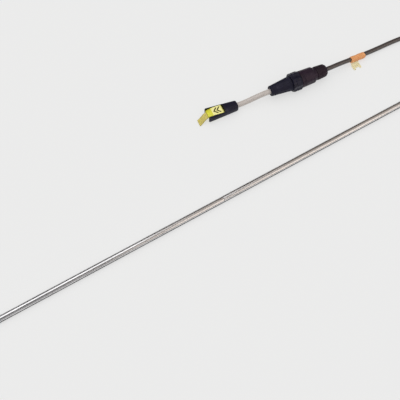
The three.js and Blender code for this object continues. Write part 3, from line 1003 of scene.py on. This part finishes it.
def soften(piece, width, segments, limit, sharp):
    """Rounds the edges whose faces meet at more than limit degrees."""
    bevel = piece.modifiers.new("edges", "BEVEL")
    bevel.width = width * MM
    bevel.segments = segments
    bevel.limit_method = "ANGLE"
    bevel.angle_limit = math.radians(limit)
    apply_modifiers(piece)
    piece.data.shade_smooth()
    piece.data.set_sharp_from_angle(angle=math.radians(sharp))


def add_handle():
    """A tapered body with a slot for the tab, a pocket for the crimp, and holes for cable and pin.
    Each station gives its x, width, height and power."""
    stations = [
        (0, 22.0, 15.0, 3.0),
        (0.5, 23.2, 15.7, 3.0),
        (1.6, 24.0, 16.0, 3.0),
        (26, 20.4, 16.0, 2.9),
        (42, 17.9, 16.0, 2.8),
        (HANDLE_LENGTH - 2.2, 16.5, 16.0, 2.6),
        (HANDLE_LENGTH - 0.7, 15.7, 15.4, 2.5),
        (HANDLE_LENGTH, 14.0, 14.0, 2.5),
    ]
    count = 72
    rings = [handle_ring(x, w, h, p, count) for x, w, h, p in stations]
    vertices = [v for ring in rings for v in ring]
    piece = new_piece("handle_fork", vertices, capped_faces(len(rings), count), HANDLE)
    tools = [
        solid_block("slot_tool", -1, 29.6, -SLOT_WIDTH / 2, SLOT_WIDTH / 2, -1, 17),
        round_bar("pocket_tool", 28, 40.6, 4, HANDLE_AXIS, 48),
        round_bar("bore_tool", 39.6, HANDLE_LENGTH + 1, 4.7, HANDLE_AXIS, 48),
        round_bar("pin_tool", -15, 15, PIN_HOLE_R, PIN_AXIS, 40),
    ]
    cut_away(piece, tools)
    soften(piece, 0.35, 2, 50, 40)
    finish_piece(piece, "top_section", "black_plastic", BLACK, "handle_body")


TAB_FRONT_TOP = 10.6
TAB_SHOULDER_TOP = 13.3


def add_pull_tab():
    """The tab's side outline, extruded across the slot: a round hub on the pin and a thinner front."""
    outline = [(TAB_FRONT, 7.2), (8, 2.8)]
    steps = 24
    for i in range(steps + 1):
        angle = math.radians(-90 + 180 * i / steps)
        outline.append((PIN_AT + TAB_HUB_R * math.cos(angle), HANDLE_Z + TAB_HUB_R * math.sin(angle)))
    outline += [(TAB_SHOULDER, TAB_SHOULDER_TOP), (TAB_FRONT, TAB_FRONT_TOP)]
    count = len(outline)
    vertices = [(x, side * TAB_WIDTH / 2, z) for side in (-1, 1) for x, z in outline]
    piece = new_piece("pull_tab_block", vertices, capped_faces(2, count), HANDLE)
    cut_away(piece, [round_bar("hole_tool", -10, 10, PIN_HOLE_R, PIN_AXIS, 40)])
    soften(piece, 0.5, 3, 45, 50)
    finish_piece(piece, "pull_tab", "yellow_plastic", YELLOW, "pull_tab")


def top_of_tab(x):
    """Height of the tab's upper face."""
    if x >= PIN_AT:
        return HANDLE_Z + math.sqrt(max(0.0, TAB_HUB_R ** 2 - (x - PIN_AT) ** 2))
    places = (TAB_FRONT, TAB_SHOULDER, PIN_AT)
    return float(np.interp(x, places, (TAB_FRONT_TOP, TAB_SHOULDER_TOP, HANDLE_Z + TAB_HUB_R)))


def add_label():
    """A thin plate over the tab's upper face; its outline gives the half width at each x."""
    outline = [(9.0, 6.3), (9.6, 7.3), (10.4, 7.8), (26.0, 7.8), (26.8, 7.4), (27.4, 6.5)]
    thick, rows, columns = 0.14, 40, 6
    places, half_widths = zip(*outline)
    xs = np.linspace(places[0], places[-1], rows + 1)
    vertices = []
    for level in (0.0, thick):
        for x, half in zip(xs, np.interp(xs, places, half_widths)):
            for j in range(columns + 1):
                vertices.append((x, half * (2 * j / columns - 1), top_of_tab(x) + level))
    piece = new_piece("tab_label", vertices, sheet_faces(rows, columns), HANDLE, sharp=40.0)
    finish_piece(piece, "pull_tab", "yellow_plastic", CREAM)


def add_mark():
    """A generic pull-this-way sign: two chevrons that point to the strap."""
    half, stroke, slant, steps = 5.6, 3.0, 0.95, 8
    vertices, faces = [], []
    for tip in (10.9, 16.3):
        for side in (-1, 1):
            base = len(vertices)
            for i in range(steps + 1):
                y = side * half * i / steps
                front = tip + slant * abs(y)
                for x in (front, front + stroke):
                    for lift in (0.1, 0.24):
                        vertices.append((x, y, top_of_tab(x) + lift))
            for i in range(steps):
                a, b = base + 4 * i, base + 4 * (i + 1)
                for p, q in ((0, 1), (1, 3), (3, 2), (2, 0)):
                    faces.append((a + p, a + q, b + q, b + p))
            for a in (base, base + 4 * steps):
                faces.append((a, a + 1, a + 3, a + 2))
    piece = new_piece("tab_mark", vertices, faces, HANDLE, sharp=40.0)
    finish_piece(piece, "pull_tab", "yellow_plastic", MARK)


STRAP_LINE = [(0.3, 8.9), (-3, 8.5), (-6, 7), (-9, 4.8), (-12, 2.6), (-14.5, 1.3), (-16.6, 1.05)]
STRAP_LEAN = 0.28


def add_strap():
    """Woven tape with thin edges, which leans to one side and twists a little as it drops."""
    line = spaced(catmull([(x, 0, z) for x, z in STRAP_LINE], 10), 0.4)[0]
    tangents = np.gradient(line, axis=0)
    tangents /= np.linalg.norm(tangents, axis=1)[:, None]
    across = 32
    vertices = []
    for side in (1, -1):
        for i, (point, tangent) in enumerate(zip(line, tangents)):
            normal = np.array((tangent[2], 0, -tangent[0]))
            for j in range(across + 1):
                share = 2 * j / across - 1
                weave = 0.09 * math.cos(math.pi * (i + j))
                edge = math.sqrt(max(0.0, 1 - abs(share) ** 8))
                height = side * edge * (STRAP_THICK / 2 - 0.12 + weave)
                twist = 0.35 * share * i / len(line)
                spot = point + normal * (height + twist)
                y = share * STRAP_WIDTH / 2 + STRAP_LEAN * point[0]
                vertices.append((spot[0], y, max(0.05, spot[2])))
    faces = sheet_faces(len(line) - 1, across)
    piece = new_piece("pull_strap_tape", vertices, faces, HANDLE, sharp=0)
    layer = piece.data.uv_layers.new(name="tape")
    to_local = HANDLE.inverted()
    for corner in piece.data.loops:
        spot = to_local @ piece.data.vertices[corner.vertex_index].co
        u = (spot.y - STRAP_LEAN * spot.x) / STRAP_WIDTH + 0.5
        layer.data[corner.index].uv = (u, spot.x / STRAP_WIDTH)
    finish_piece(piece, "pull_tab", "yellow_webbing", WEBBING, "pull_strap")


def add_cross_pin():
    profile = [(-PIN_REACH, 0, 0), (-PIN_REACH, PIN_R, 0.3), (PIN_REACH, PIN_R, 0.3), (PIN_REACH, 0, 0)]
    piece = turned_piece("cross_pin", profile, PIN_AXIS, 48, closed=False)
    finish_piece(piece, "top_section", "pin_steel", DARK_STEEL, "handle_cross_pin")


add_handle()
add_pull_tab()
add_label()
add_mark()
add_strap()
add_cross_pin()
for inner in ("cable_crimp", "guide_bush", "clamp_collet", "tip_stud"):
    node_material(inner, BRASS)
node_material("wedge_ring", PIN_STEEL)


# ---- marker on the cable ----
MARKER_FROM, MARKER_TO = 0.6965, 0.7655
MARKER_R = 5.45
MARKER_BORE_R = 4.15
MARKER_SAG = 1.1
FILM_FRAME = placed(-73.5, 99, 0, -3)


def add_marker_sleeve():
    """A shrunk sleeve that stands out to one side, with wrinkles and slightly ragged ends."""
    draw = random.Random(7)
    length = SHEATH_MARKS[-1]
    places = np.linspace(MARKER_FROM * length, MARKER_TO * length, 61)
    line = np.stack([np.interp(places, SHEATH_MARKS, SHEATH_LINE[:, k]) for k in range(3)], axis=1)
    waves = [(draw.uniform(0.15, 0.5), draw.randint(1, 3), draw.uniform(0, 6.28)) for _ in range(5)]
    sides = 56
    vertices = []
    for layer in (0, 1):
        for i, (point, (tangent, u, v)) in enumerate(zip(line, frames_along(line))):
            share = i / (len(line) - 1)
            end = math.exp(-((min(share, 1 - share) / 0.05) ** 2))
            for k in range(sides):
                angle = 2 * math.pi * k / sides
                ripple = sum(0.04 * math.sin(a * i + b * angle + c) for a, b, c in waves)
                radius = MARKER_R + ripple - 0.3 * end if layer == 0 else MARKER_BORE_R
                centre = point - np.array((0, MARKER_SAG, 0)) if layer == 0 else point
                ragged = 0.25 * math.sin(3 * angle + 5 * share) * end
                around = math.cos(angle) * u + math.sin(angle) * v
                vertices.append(centre + radius * around + tangent * ragged)
    sheet = len(line) * sides
    faces = wall_faces(len(line), sides) + wall_faces(len(line), sides, sheet)
    for i in (0, len(line) - 1):
        for k in range(sides):
            a, b = i * sides + k, i * sides + (k + 1) % sides
            faces.append((a, b, sheet + b, sheet + a))
    piece = new_piece("marker_sleeve_wrap", vertices, faces)
    return finish_piece(piece, "top_section", "orange_sleeve", ORANGE, "marker_sleeve")


def add_marker_tab():
    """A film tag that drops from the sleeve to the table, with two legs and a slight curl."""
    width, leg, notch, depth, thick = 14.5, 3.4, 3.5, 12.2, 0.45
    drop = catmull([(0, 0.5, 0), (5, 0.5, 0), (8.2, 1.2, 0), (10.4, 2.9, 0), (12.2, 4.7, 0)], 8)
    across, rows = 29, 26
    vertices = []
    for side in (-1, 1):
        for j in range(rows + 1):
            y = depth * j / rows
            for i in range(across + 1):
                x = width * i / across
                corner = (1 - x / width) * (j / rows) ** 4
                rise = corner + float(np.interp(y, drop[:, 0], drop[:, 1]))
                curl = 0.16 * math.sin(0.5 * x + 0.35 * y)
                waist = 0.8 * (x / width - 0.5) * math.sin(math.pi * y / depth)
                vertices.append((x + waist, y, rise + max(-0.2, curl) + side * thick / 2))

    def outside_notch(j, i):
        x, y = width * (i + 0.5) / across, depth * (j + 0.5) / rows
        return not (leg < x < width - leg and y < notch)

    faces = sheet_faces(rows, across, outside_notch)
    piece = new_piece("marker_film", vertices, faces, FILM_FRAME)
    return finish_piece(piece, "top_section", "pale_film", FILM, "marker_tab")


marker_sleeve = add_marker_sleeve()
marker_film = add_marker_tab()


# ---- table and light ----
SKY = 1.0
TABLE_GLOW = 0.6
TABLE_HALF = 40.0
TABLE_DROP = 0.0003
REFLECTOR_R = 1300.0
STREAK_REACH = 2600.0
LEFT = (-STREAK_REACH, -200.0)
RIGHT = (-200.0, STREAK_REACH)
WHITE = (1.0, 1.0, 1.0)
WARM = (1.0, 0.86, 0.73)


def add_stage(name, corners, faces, paint):
    paint.set("Specular IOR Level", 0.0)
    mesh = bpy.data.meshes.new(name)
    mesh.from_pydata([tuple(corner) for corner in corners], [], faces)
    mesh.materials.append(paint.material)
    stage = bpy.data.objects.new(name, mesh)
    bpy.context.scene.collection.objects.link(stage)
    return stage


def show_only_in_gloss(stage):
    for kind in ("camera", "diffuse", "transmission", "shadow", "volume_scatter"):
        setattr(stage, "visible_" + kind, False)


def add_table():
    glow = {"Emission_Color": (1.0, 1.0, 0.995, 1.0), "Emission_Strength": TABLE_GLOW}
    paint = Paint("table_top", (0.25, 0.25, 0.25), 0.9, **glow)
    ends = (-TABLE_HALF, TABLE_HALF)
    corners = [(x, y, -TABLE_DROP) for x in ends for y in ends]
    add_stage("table", corners, [(0, 2, 3, 1)], paint)


def add_reflector(name, brightness, angles, reach, tint=WHITE):
    """A curved strip over the tubes: a light one gives them a streak and a black one a dark line.
    Angles are in degrees about the tubes' axis, from 0 at the front to 180 at the back."""
    paint = Paint(name, (0.0, 0.0, 0.0), 1.0, Emission_Color=(*tint, 1.0), Emission_Strength=brightness)
    steps = 12
    corners = []
    for i in range(steps + 1):
        angle = math.radians(angles[0] + (angles[1] - angles[0]) * i / steps)
        y, z = -REFLECTOR_R * math.cos(angle), REFLECTOR_R * math.sin(angle)
        corners += [LAYOUT @ Vector((x, y, z)) for x in reach]
    faces = [(2 * i, 2 * i + 1, 2 * i + 3, 2 * i + 2) for i in range(steps)]
    show_only_in_gloss(add_stage(name, corners, faces, paint))


def add_reflected_foot_shade():
    """A black strip on the table, seen only in reflections, that stands in for the shade at the tubes'
    foot: the front of the joined tubes reflects it as their dark lower line.
    """
    front, back, lift = -13.0, -0.8, 0.05
    left, right = LEFT[0] - 100.0, 0.0
    corners = [LAYOUT @ Vector((x, y, lift)) for x in (left, right) for y in (front, back)]
    # Painted reflected shade: a black sheet where the table only lies in the tubes' shade.
    paint = Paint("reflected_foot_shade", (0.0, 0.0, 0.0), 1.0)
    show_only_in_gloss(add_stage("reflected_foot_shade", corners, [(0, 2, 3, 1)], paint))


def add_world():
    """Even light from above that falls off towards the horizon, like a light tent."""
    world = bpy.data.worlds.new("studio")
    world.use_nodes = True
    tree = world.node_tree
    background = tree.nodes["Background"]
    coordinates = tree.nodes.new("ShaderNodeTexCoord")
    split = tree.nodes.new("ShaderNodeSeparateXYZ")
    ramp = tree.nodes.new("ShaderNodeValToRGB")
    tree.links.new(coordinates.outputs["Generated"], split.inputs["Vector"])
    tree.links.new(split.outputs["Z"], ramp.inputs["Fac"])
    tree.links.new(ramp.outputs["Color"], background.inputs["Color"])
    fill_ramp(ramp, [(0.0, 0.02), (0.22, 0.06), (0.45, 0.55), (0.75, 1.0)])
    background.inputs["Strength"].default_value = SKY
    bpy.context.scene.world = world
    bpy.context.scene.view_settings.view_transform = "Standard"


def add_sun(power, direction, spread):
    """A soft key light; its spread is in degrees."""
    data = bpy.data.lights.new("key", "SUN")
    data.energy = power
    data.angle = math.radians(spread)
    light = bpy.data.objects.new("key", data)
    light.rotation_mode = "QUATERNION"
    light.rotation_quaternion = Vector(direction).to_track_quat("-Z", "Y")
    bpy.context.scene.collection.objects.link(light)


add_table()
add_world()
add_sun(power=0.5, direction=(0.1, 0.15, -1.0), spread=60.0)
add_reflector("left_front_grey", 0.5, (14, 38), LEFT)
add_reflector("left_front_black", 0.0, (40, 84), LEFT)
add_reflector("left_streak", 1.75, (92, 120), LEFT)
add_reflector("left_back_black", 0.04, (130, 178), LEFT)
add_reflector("right_front_light", 1.5, (16, 46), RIGHT, WARM)
add_reflector("right_top_grey", 0.42, (62, 118), RIGHT, WARM)
add_reflector("right_back_black", 0.07, (118, 178), RIGHT, WARM)
add_reflected_foot_shade()
